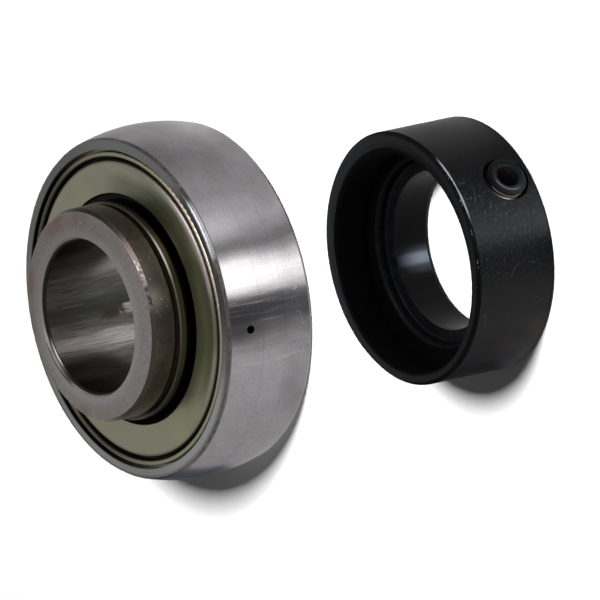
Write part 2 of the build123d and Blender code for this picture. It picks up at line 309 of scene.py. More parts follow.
class Tree:
    """Short ways to place and join a tree's nodes. An input is a number, a colour, a Value or a socket."""

    def __init__(self, tree):
        self.tree = tree

    def node(self, kind, inputs=(), **settings):
        made = self.tree.nodes.new(kind)
        for name, value in settings.items():
            setattr(made, name, value)
        for key, value in dict(inputs).items():
            self.put(made.inputs[key], value)
        return made

    def put(self, socket, value):
        if isinstance(value, Value):
            value = value.socket
        if isinstance(value, bpy.types.NodeSocket):
            self.tree.links.new(value, socket)
        elif socket.type == "RGBA" and len(value) == 3:
            socket.default_value = (*value, 1.0)
        else:
            socket.default_value = value

    def math(self, operation, first, second=0.0, third=None, clamp=False):
        inputs = {0: first, 1: second}
        if third is not None:
            inputs[2] = third
        made = self.node("ShaderNodeMath", inputs, operation=operation, use_clamp=clamp)
        return Value(self, made.outputs[0])

    def larger(self, first, second):
        return self.math("MAXIMUM", first, second)

    def reach(self, x, y):
        """Distance of a point from an axis."""
        return self.math("SQRT", x * x + y * y)

    def step(self, value, low, high, start=0.0, end=1.0):
        """Smooth rise from start at low to end at high."""
        inputs = {"Value": value, "From Min": low, "From Max": high, "To Min": start, "To Max": end}
        made = self.node("ShaderNodeMapRange", inputs, interpolation_type="SMOOTHSTEP")
        return Value(self, made.outputs["Result"])

    def window(self, value, low, high, soft):
        """1 between low and high, with soft ends."""
        rise = self.step(value, low - soft, low + soft)
        return rise * self.step(value, high - soft, high + soft, 1.0, 0.0)

    def mix(self, factor, first, second, blend="MIX"):
        inputs = {0: factor, 6: first, 7: second}
        return self.node("ShaderNodeMix", inputs, data_type="RGBA", blend_type=blend).outputs[2]

    def coats(self, base, *layers, blend="MIX"):
        """Lays colours over a base colour, each through its own mask."""
        for mask, colour_of in layers:
            base = self.mix(mask, base, colour_of, blend)
        return base

    def blend(self, factor, first, second):
        """Plain number between first and second."""
        return Value(self, self.node("ShaderNodeMix", {0: factor, 2: first, 3: second}).outputs[0])

    def noise(self, vector, scale, detail=2.0, roughness=0.5):
        inputs = {"Vector": vector, "Scale": scale, "Detail": detail, "Roughness": roughness}
        return Value(self, self.node("ShaderNodeTexNoise", inputs).outputs[0])

    def vector(self, x, y=0.0, z=0.0):
        return self.node("ShaderNodeCombineXYZ", {0: x, 1: y, 2: z}).outputs[0]

    def parts(self, vector):
        """The three coordinates of a vector."""
        return [Value(self, output) for output in self.node("ShaderNodeSeparateXYZ", {0: vector}).outputs]

    def millimetres(self, point):
        """The three coordinates of a point, in millimetres."""
        grown = self.node("ShaderNodeVectorMath", {0: point}, operation="SCALE")
        grown.inputs["Scale"].default_value = 1 / MM
        return self.parts(grown.outputs[0])

    def turned(self, x, y, degrees):
        """A flat point as it is seen from axes that are turned by an angle."""
        turn = math.radians(degrees)
        return x * math.cos(turn) + y * math.sin(turn), y * math.cos(turn) - x * math.sin(turn)

    def share_of_turn(self, x, y):
        """Angle of a flat point as a share of a whole turn: 0 and 1 at -X, a half at +X."""
        return self.math("MULTIPLY_ADD", self.math("ARCTAN2", y, x), 0.5 / math.pi, 0.5)

    def ramp(self, spot, stops):
        """Level by a share of a turn, from pairs of degrees and level. High and low ones are tinted."""
        made = self.node("ShaderNodeValToRGB", {0: spot})
        made.color_ramp.interpolation = "EASE"
        marks = made.color_ramp.elements
        for number, (degrees, level) in enumerate(stops):
            mark = marks[number] if number < len(marks) else marks.new(1.0)
            mark.position = degrees / 360 + 0.5
            tint = HIGHLIGHT_TINT if level >= 0.9 else SHADOW_TINT if level <= 0.1 else (1.0, 1.0, 1.0)
            mark.color = (*shade(tint, level), 1.0)
        return Value(self, made.outputs[0])

    def group(self, maker, **inputs):
        """Places a shared node group, built the first time that it is asked for, and gives its outputs."""
        if maker not in GROUPS:
            GROUPS[maker] = maker()
        made = self.node("ShaderNodeGroup", node_tree=GROUPS[maker])
        for name, value in inputs.items():
            self.put(made.inputs[label(name)], value)
        return {output.name: Value(self, output) for output in made.outputs}

    def give(self, **values):
        """Ends a node group with its outputs."""
        end = self.node("NodeGroupOutput")
        for name, value in values.items():
            self.put(end.inputs[label(name)], value)
        return self.tree


def shade(colour_of, *factors):
    """Colour made darker or lighter, by one factor for all or one each."""
    factors = factors if len(factors) == 3 else factors * 3
    return tuple(part * factor for part, factor in zip(colour_of, factors))


def new_group(name, inputs, outputs):
    """Empty shader node group with its sockets, where an input with no default is a vector."""
    tree = bpy.data.node_groups.new(name, "ShaderNodeTree")
    for text, default in inputs.items():
        kind = "NodeSocketVector" if default is None else "NodeSocketFloat"
        socket = tree.interface.new_socket(text, in_out="INPUT", socket_type=kind)
        if default is not None:
            socket.default_value = default
    for text in outputs:
        tree.interface.new_socket(text, in_out="OUTPUT", socket_type="NodeSocketFloat")
    t = Tree(tree)
    return t, {output.name: Value(t, output) for output in t.node("NodeGroupInput").outputs}


def turned_place():
    """Radius, height and side of a point on a turned piece, in millimetres from its axis."""
    t, given = new_group(
        "Turned place",
        {"Point": None, "Centre x": 0.0, "Centre y": 0.0},
        ("Radius", "Height", "Side x", "Side y"),
    )
    x, y, height = t.millimetres(given["Point"])
    x, y = x - given["Centre x"], y - given["Centre y"]
    radius = t.larger(t.reach(x, y), 0.001)
    return t.give(radius=radius, height=height, side_x=x / radius, side_y=y / radius)


def tool_lay():
    """Fine lines left by a tool: Around sets how often they change round, Across how often along a piece."""
    t, given = new_group(
        "Tool lay",
        {"Radius": 10.0, "Height": 0.0, "Side x": 1.0, "Side y": 0.0, "Around": 2.0, "Across": 10.0,
         "Detail": 3.0},
        ("Marks",),
    )
    around, travel = given["Around"], given["Radius"] + given["Height"]
    spot = t.vector(given["Side x"] * around, given["Side y"] * around, travel * given["Across"])
    return t.give(marks=t.noise(spot, 1.0, given["Detail"], 0.6))


def edge_wear():
    """Bright nicks along one turned edge, gathered in patches."""
    t, given = new_group(
        "Edge wear",
        {"Point": None, "Radius": 10.0, "Height": 0.0, "Edge radius": 10.0, "Edge height": 0.0, "Width": 0.3,
         "Amount": 0.5},
        ("Wear", "Edge"),
    )
    away = t.reach(given["Radius"] - given["Edge radius"], given["Height"] - given["Edge height"])
    near = t.math("SUBTRACT", 1.0, away / given["Width"], clamp=True)
    coarse = t.noise(given["Point"], 330.0, 2.0, 0.5)
    fine = t.noise(given["Point"], 4600.0, 3.0, 0.7)
    least = 0.86 - given["Amount"] * 0.16
    wear = t.step(coarse * 0.5 + fine * 0.5 + near * 0.18, least, least + 0.05)
    return t.give(wear=wear * t.step(near, 0.0, 0.3), edge=near)


def specks():
    """Small round pits or dots scattered over a surface."""
    t, given = new_group("Specks", {"Point": None, "Scale": 800.0, "Amount": 0.1, "Size": 0.25}, ("Specks",))
    cells = t.node("ShaderNodeTexVoronoi", {"Vector": given["Point"], "Scale": given["Scale"]}).outputs
    chance = t.node("ShaderNodeSeparateColor", {0: cells["Color"]}).outputs
    kept = t.math("LESS_THAN", chance[0], given["Amount"])
    width = given["Size"] * t.math("ADD", 0.4, chance[1])
    return t.give(specks=t.step(t.math("DIVIDE", cells["Distance"], width), 0.6, 1.0, 1.0, 0.0) * kept)


def hair_lines():
    """Thin wandering scratches, broken into short pieces."""
    inputs = {"Point": None, "Scale": 250.0, "Width": 0.006, "Amount": 0.3}
    t, given = new_group("Hair lines", inputs, ("Lines",))
    off = abs(t.noise(given["Point"], given["Scale"], 1.0, 0.4) - 0.5)
    patch = t.noise(given["Point"], given["Scale"] * 1.7, 0.0)
    least = 0.75 - given["Amount"] * 0.4
    line = t.step(off, given["Width"] * 0.4, given["Width"], 1.0, 0.0)
    return t.give(lines=line * t.step(patch, least, least + 0.05))


class Surface(Tree):
    """Node tree of a new material, on the piece's own coordinates and, for a turned piece, about its axis.

    A finish names its masks first, from textures and from radii and heights in millimetres. Then it lays its
    colours over each other through them, and joins up roughness and bumps.
    """

    def __init__(self, name, axis=None, specular=0.5):
        self.material = bpy.data.materials.new(name)
        self.material.use_nodes = True
        super().__init__(self.material.node_tree)
        self.shader = self.tree.nodes["Principled BSDF"]
        self.shader.inputs["Specular IOR Level"].default_value = specular
        self.point = self.node("ShaderNodeTexCoord").outputs["Object"]
        if axis:
            self.place = self.about(axis)
            self.radius, self.height = self.place["Radius"], self.place["Height"]

    def about(self, axis):
        """Place of each point about an upright axis."""
        return self.group(turned_place, point=self.point, centre_x=axis[0], centre_y=axis[1])

    def toward(self, degrees, low, high):
        """Smooth mask for the side that faces an angle about the axis."""
        turn = math.radians(degrees)
        facing = self.place["Side x"] * math.cos(turn) + self.place["Side y"] * math.sin(turn)
        return self.step(facing, low, high)

    def by_angle(self, stops, shift=0.0):
        """Level by the angle about the axis."""
        return self.ramp(self.share_of_turn(self.place["Side x"], self.place["Side y"]) + shift, stops)

    def texture(self, scale, detail, roughness):
        return self.noise(self.point, scale, detail, roughness)

    def lay(self, around, across, detail=3.0):
        return self.group(tool_lay, **self.place, around=around, across=across, detail=detail)["Marks"]

    def specks(self, scale, amount, size):
        return self.group(specks, point=self.point, scale=scale, amount=amount, size=size)["Specks"]

    def lines(self, scale, width, amount):
        return self.group(hair_lines, point=self.point, scale=scale, width=width, amount=amount)["Lines"]

    def wear(self, place, radius, height, width, amount):
        """Bright nicks along an edge, and how near a point is to it."""
        made = self.group(
            edge_wear, point=self.point, radius=place["Radius"], height=place["Height"],
            edge_radius=radius, edge_height=height, width=width, amount=amount,
        )
        return made["Wear"], made["Edge"]

    def finish(self, base, roughness, bumps, depth, metallic=1.0):
        """Joins the worked-out looks to the shader, with bumps up to a depth in millimetres."""
        bump = self.node("ShaderNodeBump", {"Strength": 1.0, "Distance": depth * MM, "Height": bumps})
        self.put(self.shader.inputs["Base Color"], base)
        self.put(self.shader.inputs["Roughness"], roughness)
        self.put(self.shader.inputs["Metallic"], metallic)
        self.put(self.shader.inputs["Normal"], bump.outputs[0])
        return self.material


# Finishes


def ground_steel(look):
    """Outer ring: finely ground seat, turned faces and dark nicked bevels, with painted shade on the faces by
    side, at the mouth and in the oil hole, and a painted glint on the outer bevel.
    """
    t = Surface("ground_steel", AXIS)
    radius, height, end = t.radius, t.height, abs(t.height)
    seat = t.step(end, *SEAT_END) * t.step(radius, *SEAT_SIDE)
    off_seat = 1.0 - seat
    front = t.step(height, 0.0, 1.0)
    grain = t.texture(4600.0, 3.0, 0.75)
    cloud = t.texture(420.0, 3.0, 0.6)
    patch = t.texture(800.0, 3.0, 0.7)
    lay = t.lay(55.0, 1.1)
    face_lay = t.lay(1.5, 26.0)
    pits = t.specks(900.0, 0.035, 0.13)
    dust = t.specks(2600.0, 0.16, 0.26)
    hairs = t.lines(260.0, 0.0022, 0.12)
    lint = t.lines(300.0, 0.012, 1.0) * t.toward(-98.0, 0.975, 0.992) * t.step(height, -3.8, -4.8)
    rub = t.step(t.lay(42.0, 0.10), 0.48, 0.80) * t.toward(-96.0, 0.93, 0.985) * seat
    wear, edge = t.wear(t.place, RING_EDGE, FACE_HEIGHT - 0.28, 0.40, look.wear)
    # The nicks are real wear, gathered on the side where they catch the light: partly painted highlight
    wear = wear * (t.toward(-52.0, 0.55, 0.95) * 0.7 + 0.3)

    # Painted shade: the walls of the oil hole painted near black
    oil_hole_shade = t.step(end, 2.2, 1.8) * t.window(radius, *OIL_HOLE, 0.03)
    tone = t.coats(
        look.seat,
        (t.step(cloud, 0.35, 0.7), shade(look.seat, 0.93, 0.90, 0.91)),
        (t.step(grain, 0.48, 0.75) * 0.34, (0.95, 0.93, 0.95)),
        (t.step(grain, 0.47, 0.25) * 0.34, shade(look.seat, 0.52)),
        (dust * 0.30, PALE_DUST),
        (oil_hole_shade, (0.004, 0.004, 0.004)),
    )

    # Painted light and shade: the ring's face is painted lighter and darker by the angle about the axis, and
    # by the side factors below
    painted_face_light = t.larger(t.by_angle(RING_FACE_PAINTED_SHADE), t.step(height, 0.0, -1.0, 0.0, 0.6))
    face = t.coats(
        t.mix(painted_face_light, shade(look.face, 0.33, 0.34, 0.34), look.face),
        (t.toward(-125.0, 0.55, 0.92), (1.28, 1.27, 1.32)),
        (t.toward(-58.0, 0.955, 0.992), (0.60, 0.57, 0.56)),
        (t.toward(-14.0, 0.82, 0.97), (1.25, 1.26, 1.28)),
        blend="MULTIPLY",
    )
    # Painted shade: the outer edge of the front face darkened on the -X side
    shaded_face_edge = t.window(radius, 24.38, 24.9, 0.06) * t.step(t.place["Side x"], 0.25, -0.25) * front
    # Painted shade: the front face darkened at the ring's mouth on one side
    mouth = t.step(radius, RING_MOUTH + 0.12, RING_MOUTH) * t.toward(95.0, -0.2, 0.5) * front
    face = t.coats(
        face,
        (t.step(face_lay, 0.35, 0.7) * 0.30, shade(look.face, 0.45)),
        (shaded_face_edge * 0.45, shade(look.face, 0.15)),
        (mouth * 0.85, shade(look.face, 0.05)),
    )

    bevel = t.step(edge + (patch * 0.9 - 0.45), 0.2, 0.45) * front
    stain = t.mix(t.step(patch, 0.40, 0.62), (0.10, 0.085, 0.08), (0.30, 0.23, 0.22))
    # Painted glint: the outer bevel painted pale blue-white on the side that faces the soft box
    bright = t.toward(-62.0, 0.975, 0.993) * t.window(radius, 24.3, 25.3, 0.1) * t.step(height, 7.0, 7.1)
    base = t.coats(
        t.mix(seat, face, tone),
        (bevel * t.step(patch, 0.15, 0.55, 0.95, 0.55), stain),
        (bright * t.step(patch, 0.2, 0.5), (0.80, 0.82, 0.88)),
        (wear, (0.88, 0.87, 0.90)),
        (pits * 0.7, (0.10, 0.09, 0.09)),
        (hairs * 0.4, (0.92, 0.90, 0.92)),
        (lint * 0.8, PALE_DUST),
        (rub * 0.38, PALE_DUST),
    )

    rough = grain * 0.10 + (look.roughness - 0.05) + t.larger(rub, lint * 2.0) * 0.25 + off_seat * 0.18
    slope = t.larger(radius - RING_BEVEL_START, 0.0)
    rounding = slope * slope * 450.0 * off_seat * t.toward(-61.0, 0.955, 0.985)
    bumps = grain * 0.40 + lay * 0.35 + face_lay * 0.5 * off_seat - pits * 3.0 - wear * 2.0 - rounding
    return t.finish(base, rough, bumps, 0.0020)


def turned_steel(look):
    """Inner ring: warm grey turned face, bronze-brown cam, dull land and a smeared bore, with painted light
    and shade: reflection bands and a glint in the bore, highlights on the cam's rim and the groove's crests,
    light in the groove, and shade on one side of the face and the rim, at the bore's mouth and at the land's
    foot.
    """
    t = Surface("turned_steel", AXIS)
    radius, height = t.radius, t.height
    front = t.step(height, FRONT_HEIGHT - 0.06, FRONT_HEIGHT - 0.01) * t.step(radius, *INNER_FACE)
    bore = t.step(radius, *BORE)
    mouth = t.step(radius, *BORE_MOUTH) * t.step(height, *MOUTH_DEPTH)
    cam = t.step(height, *CAM_FOOT) * t.step(radius, *CAM_SIDE)
    cloud = t.texture(150.0, 4.0, 0.6)
    mottle = t.texture(900.0, 3.0, 0.65)
    grain = t.texture(3800.0, 3.0, 0.7)
    rings = t.lay(1.2, 22.0)
    strokes = t.lay(75.0, 1.6)
    smears = t.lay(10.0, 0.10, 4.0)
    fine_smears = t.lay(45.0, 0.22)
    pits = t.specks(430.0, 0.05, 0.10)
    glints = t.specks(1700.0, 0.10, 0.25)
    hairs = t.lines(230.0, 0.003, 0.22)
    wear, edge = t.wear(t.about(CAM_AXIS), CAM_EDGE, FRONT_HEIGHT - 0.25, 0.48, look.wear)
    # The nicks are real wear, gathered on the side where they catch the light: partly painted highlight
    wear = wear * (t.toward(-72.0, 0.4, 0.95) * 0.75 + 0.25)

    outer = t.step(radius, 12.6, 14.2, 0.35)
    rust = t.step(cloud, 0.40, 0.60) * t.toward(75.0, -0.9, 0.5) * outer * t.step(strokes, 0.25, 0.6, 0.5)
    face = t.coats(
        look.front,
        (t.step(strokes, 0.45, 0.72) * 0.65, shade(look.front, 1.35)),
        (t.step(strokes, 0.5, 0.28) * 0.65, shade(look.front, 0.6)),
        (t.step(rings, 0.5, 0.75) * 0.20, shade(look.front, 0.7)),
        (rust * 0.75, look.rust),
        (t.step(mottle, 0.5, 0.75) * 0.20, shade(look.front, 0.55)),
        (t.step(radius, 13.6, 11.9) * 0.60, shade(look.front, 1.35)),
        # Painted shade: the face darker and browner on one side
        (t.toward(30.0, -0.2, 0.9) * 0.30, shade(look.front, 0.42, 0.40, 0.34)),
    )

    # Painted sheen: a paler patch on the cam on one side
    drum_sheen = t.toward(-76.0, 0.90, 0.985) * t.step(mottle, 0.35, 0.55, 0.35)
    oily = t.step(cloud, 0.42, 0.58) * t.toward(-100.0, 0.5, 0.95)
    drum = t.coats(
        look.cam,
        (t.step(mottle, 0.35, 0.65), shade(look.cam, 0.7)),
        (drum_sheen * 0.50, (0.28, 0.27, 0.26)),
        (t.step(grain, 0.5, 0.7) * 0.3, shade(look.cam, 1.7)),
        (oily * 0.45, (0.098, 0.070, 0.048)),
        # Painted glints: bright specks only on one side of the cam
        (glints * t.toward(-80.0, 0.90, 0.985) * 0.9, (0.9, 0.85, 0.83)),
    )
    # Painted highlights: thin pale lines along the groove's two crests, brighter on one side
    crest_highlights = t.window(height, *GROOVE_CRESTS[0], 0.04) + t.window(height, *GROOVE_CRESTS[1], 0.04)
    side = t.coats(
        t.mix(cam, look.land, drum),
        # Painted light: the groove painted pale so that its recess doesn't render dark
        (t.window(height, *GROOVE, 0.06), (0.62, 0.56, 0.48)),
        (crest_highlights * (t.toward(-78.0, 0.80, 0.97) * 0.60 + 0.10), (0.24, 0.225, 0.22)),
        # Painted shade: the land darkened to near black below its end, towards the seal lip
        (t.step(height, *LAND_END), shade(look.land, 0.12)),
    )

    # Painted reflections: the bore's colour by angle gives bands of reflected light, brightened where smears
    # cross them
    reflection_bands = t.by_angle(BORE_PAINTED_REFLECTIONS, smears * 0.030 - 0.015)
    ragged = height + (mottle * 5.0 - 2.5)
    streak = t.step(smears, 0.56, 0.66) * t.step(fine_smears, 0.40, 0.60) * t.toward(75.0, 0.7, 0.95)
    # Painted glint: a narrow pinkish-white streak down the bore at one angle
    rubbed = t.toward(95.5, 0.9962, 0.9998) * t.step(ragged, 1.6, -0.4) * t.step(fine_smears, 0.30, 0.55)
    stain = t.toward(97.0, 0.9950, 0.9995) * t.window(ragged, 1.2, 4.2, 0.9) * t.step(smears, 0.3, 0.5)
    tube = t.coats(
        t.mix(reflection_bands, (0.048, 0.050, 0.042), look.bore),
        (t.step(fine_smears, 0.5, 0.72) * reflection_bands * 0.5, (0.95, 0.92, 0.91)),
        (t.step(fine_smears, 0.48, 0.30) * 0.65, (0.030, 0.030, 0.025)),
        (streak * 0.35, (0.26, 0.22, 0.20)),
        (rubbed * 0.9, (0.62, 0.52, 0.50)),
        (stain * 0.75, (0.055, 0.038, 0.018)),
    )

    # Painted shade and glint at the bore's mouth: the bevel painted dark with a pale glint on one side, and
    # the face beside it painted darker on that side
    glint = t.toward(118.0, 0.970, 0.998) * t.window(radius, BORE_EDGE, BORE_EDGE + 0.14, 0.05)
    lip_bevel = t.mix(glint, (0.035, 0.032, 0.028), (0.18, 0.185, 0.20))
    lip_face = t.mix(t.toward(128.0, 0.90, 0.985), face, (0.085, 0.080, 0.075))
    # Painted shade: the cam's brown rim painted darker on one side
    rim = t.step(edge, 0.15, 0.5) * cam
    rim_tone = t.mix(t.toward(45.0, -0.1, 0.6), (0.105, 0.080, 0.068), (0.040, 0.036, 0.030))
    # Painted highlight: a pale band on the cam's rim on the side that faces the light
    rim_highlight = rim * t.toward(-72.0, 0.955, 0.985) * t.step(mottle, 0.40, 0.58)
    base = t.coats(
        side,
        (front, face),
        (bore, tube),
        (mouth, t.mix(t.step(radius, 11.38, 11.50), lip_bevel, lip_face)),
        (rim * 0.9, rim_tone),
        (rim_highlight * 0.75, (0.42, 0.37, 0.37)),
        (wear, (0.88, 0.83, 0.82)),
        (pits * (1.0 - bore) * 0.75, (0.08, 0.055, 0.05)),
        (hairs * front * 0.45, (0.80, 0.77, 0.75)),
    )

    rough = t.blend(bore, t.blend(front, 0.30, 0.42), 0.24) + (grain - 0.5) * 0.14
    bumps = grain * 0.5 + rings * front * 0.5 + strokes * front * 0.6
    bumps = bumps + smears * bore * 2.0 + fine_smears * bore * 0.5 - (pits * 3.0 + wear * 2.0)
    return t.finish(base, rough, bumps, 0.003)


def zinc_plate(look):
    """Seal plates: satin zinc with an olive cast, painted lighter and darker by side, with painted highlights
    on the shoulder and bead and painted shade in the groove beside the bead.
    """
    t = Surface("yellow_zinc_sheet", AXIS)
    radius = t.radius
    cloud = t.texture(190.0, 3.0, 0.55)
    grain = t.texture(3600.0, 2.0, 0.6)
    rings = t.lay(1.0, 5.0, 2.0)
    near = t.toward(-78.0, 0.10, 0.75)
    far = t.toward(95.0, -0.1, 0.6)
    shoulder = t.window(radius, *PLATE_SHOULDER, 0.10)
    bead = t.window(radius, *PLATE_BEAD, 0.10)
    # Painted shade: the plate's groove next to the bead painted near black
    valley_shade = t.step(abs(t.height), *PLATE_DEPTH) * t.window(radius, *PLATE_VALLEY, 0.12)
    base = t.coats(
        look.plate,
        # Painted light and shade: the plate's colour changed by side, and paler where the shoulder and bead
        # face the light
        (t.toward(-90.0, 0.10, 0.70) * 0.9, look.shade),
        (t.step(cloud, 0.45, 0.7) * 0.22, shade(look.plate, 0.7)),
        (t.step(grain, 0.5, 0.8) * 0.12, (0.72, 0.70, 0.58)),
        (t.window(radius, 20.7, 23.1, 0.2) * t.toward(-62.0, 0.86, 0.99) * 0.7, (0.74, 0.70, 0.56)),
        # Painted shade: the bead's sides darkened on the far side
        (t.window(radius, 22.1, 22.66, 0.08) * far * 0.85, shade(look.plate, 0.15)),
        (t.window(radius, 22.66, 23.2, 0.08) * far * 0.55, shade(look.plate, 0.15)),
    )
    # Painted light and shade: the inner plate lighter on one side and darker on others, the shoulder and bead
    # tinted and brightened where they face the light
    base = t.coats(
        base,
        (t.toward(-102.0, 0.82, 0.96) * t.step(radius, 20.5, 19.0), (1.72, 1.82, 1.76)),
        (t.toward(-44.0, 0.91, 0.98) * t.window(radius, 19.2, 20.8, 0.3), (0.72, 0.76, 0.78)),
        (t.toward(-24.0, 0.86, 0.995) * t.step(radius, 20.9, 18.9), (0.60, 0.62, 0.63)),
        (shoulder * near, (0.80, 0.74, 0.88)),
        (shoulder * t.toward(-96.0, 0.970, 0.995), (0.62, 0.62, 0.66)),
        (bead * near, (1.14, 1.02, 1.06)),
        (bead * t.toward(-68.0, 0.960, 0.995), (1.45, 1.40, 1.45)),
        blend="MULTIPLY",
    )
    base = t.mix(valley_shade * 0.92, base, (0.020, 0.021, 0.013))
    rough = grain * 0.12 + (look.roughness - 0.06) + valley_shade * 0.25 + bead * 0.06
    return t.finish(base, rough, grain * 0.4 + rings * 0.8, 0.004)


def seal_rubber(look):
    """Seal lips: matt black rubber with a greasy bloom."""
    t = Surface("black_rubber", specular=0.10)
    bloom = t.texture(700.0, 3.0, 0.6)
    grain = t.texture(5000.0, 2.0, 0.6)
    base = t.mix(t.step(bloom, 0.4, 0.7), shade(look.rubber, 0.5), look.rubber)
    return t.finish(base, t.step(bloom, 0.3, 0.7, 0.70, 0.85), grain, 0.01, metallic=0.0)


def hidden_steel(name, tone, roughness, scale):
    """Steel of the pieces inside: balls, cage, rivets and backing plates."""
    t = Surface(name)
    cloud = t.texture(scale, 3.0, 0.6)
    grain = t.texture(scale * 8, 2.0, 0.6)
    base = t.mix(t.step(cloud, 0.35, 0.7), tone, shade(tone, 0.85))
    return t.finish(base, grain * 0.08 + roughness, grain, 0.0015)


def black_oxide(look):
    """Collar: oiled black oxide, speckled, worn along the outer edge, with a painted sheen and highlight line
    on one side, a painted highlight streak in the bore, and painted shade in the recess, on the chamfer and
    at the back edge.
    """
    t = Surface("black_oxide_steel", COLLAR_AXIS, specular=0.06)
    radius, height = t.radius, t.height
    mottle = t.texture(700.0, 4.0, 0.7)
    grain = t.texture(3800.0, 3.0, 0.75)
    cloud = t.texture(150.0, 3.0, 0.6)
    bloom = t.texture(2000.0, 3.0, 0.8)
    dots = t.specks(2300.0, 0.34, 0.30)
    hairs = t.lines(200.0, 0.0028, 0.16)
    rings = t.lay(1.2, 9.0)
    outside = t.step(radius, COLLAR_RADIUS - 0.5, COLLAR_RADIUS - 0.1)
    bore = t.step(radius, *COLLAR_BORE)
    # Painted shade: everything between these radii, the recess, painted near black
    recess_shade = t.step(radius, *COLLAR_RECESS) * t.step(radius, *COLLAR_STEP)
    front = t.step(height, COLLAR_FRONT - 0.10, COLLAR_FRONT - 0.03) * t.step(radius, *COLLAR_FACE)
    # Painted shade: the front chamfer painted near black
    chamfer_shade = t.step(radius, COLLAR_RADIUS - 0.53, COLLAR_RADIUS - 0.48)
    chamfer_shade = chamfer_shade * t.step(height, COLLAR_FRONT - 0.54, COLLAR_FRONT - 0.50) * 0.8
    # Painted shade: the back edge painted black
    back_edge_shade = t.step(height, FLOOR_HEIGHT + 0.36, FLOOR_HEIGHT + 0.26) * outside

    # Dust and painted sheen: bluish speckle laid only on the side where the highlight falls
    dust_and_sheen = t.step(bloom, 0.42, 0.68) * outside * t.toward(-75.0, 0.84, 0.99)
    warm = t.step(cloud, 0.42, 0.65) * t.toward(175.0, 0.2, 0.9) * outside
    # Painted highlight: a streak of reflected light down the bore at one angle
    streak = t.toward(98.6, 0.9850, 1.0) ** 10.0 * 0.75 + t.toward(99.5, 0.9600, 1.0) ** 3.0 * 0.25
    streak = streak * bore * t.step(height, -0.6, -6.0)
    turned_lines = t.step(t.lay(2.0, 34.0), 0.35, 0.70, 0.15, 1.0) * (t.toward(80.0, -0.6, 0.9) * 0.7 + 0.3)
    # Real worn edge, gathered on one side, and a painted highlight line along the front edge on that side
    wear = t.wear(t.place, COLLAR_RADIUS - 0.25, COLLAR_FRONT - 0.25, 0.34, 0.75)[0]
    edge_glint_line = t.wear(t.place, COLLAR_RADIUS - 0.02, COLLAR_FRONT - 0.48, 0.16, 2.2)[0]
    wear = t.larger(wear * t.toward(-70.0, 0.80, 0.95), edge_glint_line * t.toward(-56.0, 0.945, 0.985))
    base = t.coats(
        look.oxide,
        (t.step(mottle, 0.4, 0.75), shade(look.oxide, 1.9)),
        (dust_and_sheen * 0.24, (0.036, 0.047, 0.066)),
        (dots * dust_and_sheen * 0.36, (0.20, 0.21, 0.24)),
        (streak, (0.25, 0.28, 0.35)),
        (warm * 0.6, (0.020, 0.007, 0.006)),
        (recess_shade * 0.9, shade(look.oxide, 0.1)),
        (front * turned_lines, (0.019, 0.020, 0.022)),
        (chamfer_shade, (0.0008, 0.0009, 0.0008)),
        (hairs * outside * 0.45, (0.16, 0.13, 0.12)),
        (wear * 0.9, look.worn),
        (back_edge_shade, (0.0006, 0.0006, 0.0006)),
    )

    dull = t.larger(t.larger(recess_shade, back_edge_shade), chamfer_shade)
    rough = grain * 0.16 + (look.roughness - 0.08) + outside * 0.08 + dull * 0.32 - streak * 0.10
    bumps = (grain * 0.8 + rings * 0.4 + bloom * outside * 3.0) * (1.0 - bore) - wear * 2.0
    return t.finish(base, rough, bumps, 0.004, metallic=t.step(streak, 0.0, 0.04))


def black_screw(look):
    """Set screw: glossy black oxide, worn to bronze on the thread's crest on its lit side, with painted light
    on the crown, painted highlight arcs, and painted black shade in the socket and round the shoulder.
    """
    t = Surface("black_screw_steel", specular=0.07)
    x, y, z = t.millimetres(t.point)
    along, across = t.turned(x - COLLAR_AXIS[0], y - COLLAR_AXIS[1], SCREW_ANGLE)
    out, rise = along - COLLAR_RADIUS, z - SCREW_HEIGHT
    radius = t.reach(across, rise)
    grain = t.texture(3200.0, 3.0, 0.7)
    turning = t.step(t.noise(t.vector(radius * 9.0), 1.0), 0.35, 0.65)
    # Painted shade: the hex socket painted black
    socket = t.step(radius, *SCREW_SOCKET)
    low = across * -0.80 + rise * 0.60
    # Painted light: the crown lighter towards the lower left, with turning marks
    painted_crown_light = t.window(radius, 1.72, 2.50, 0.12) * (turning * 0.45 + 0.55) * t.step(low, -2.6, 2.2, 0.10, 0.95)
    # Painted highlights: thin bright arcs on the crown at the lower left
    highlight_arcs = t.window(radius, 1.80, 1.88, 0.05) + t.window(radius, 2.24, 2.40, 0.06)
    highlight_arcs = highlight_arcs * t.step(low, 0.7, 2.1) * t.step(across, 0.3, -0.9)
    # Painted shade: the screw's outer shoulder painted black, as the shadowed ring in its hole
    shoulder = t.step(radius, *SCREW_SHOULDER) * t.step(out, -0.05, 0.10)
    # Bronze wear on the thread, laid only on the side where it catches the light: partly painted light
    worn_and_lit_side = t.step(across * -0.95 + rise * 0.30, 1.3, 2.7)
    thread = t.step(radius, *SCREW_THREAD) * t.step(out, 0.2, 0.0) * worn_and_lit_side
    glint = t.window(out, -0.62, 0.0, 0.25) * t.window(across, 0.98, 1.18, 0.12) * t.step(rise, -0.55, -0.75)
    base = t.coats(
        shade(look.oxide, 0.8),
        (t.step(grain, 0.4, 0.7), shade(look.oxide, 1.8)),
        (painted_crown_light, (0.012, 0.016, 0.021)),
        (highlight_arcs, (0.11, 0.12, 0.135)),
        (shoulder, (0.0010, 0.0010, 0.0010)),
        (thread * 0.9, look.thread),
        (socket, (0.0005, 0.0004, 0.0004)),
        (glint * socket, (0.050, 0.004, 0.002)),
    )
    rough = grain * 0.16 + 0.22 + t.larger(shoulder, socket) * 0.35
    return t.finish(base, rough, grain, 0.004, metallic=thread * 0.8)


# Pieces


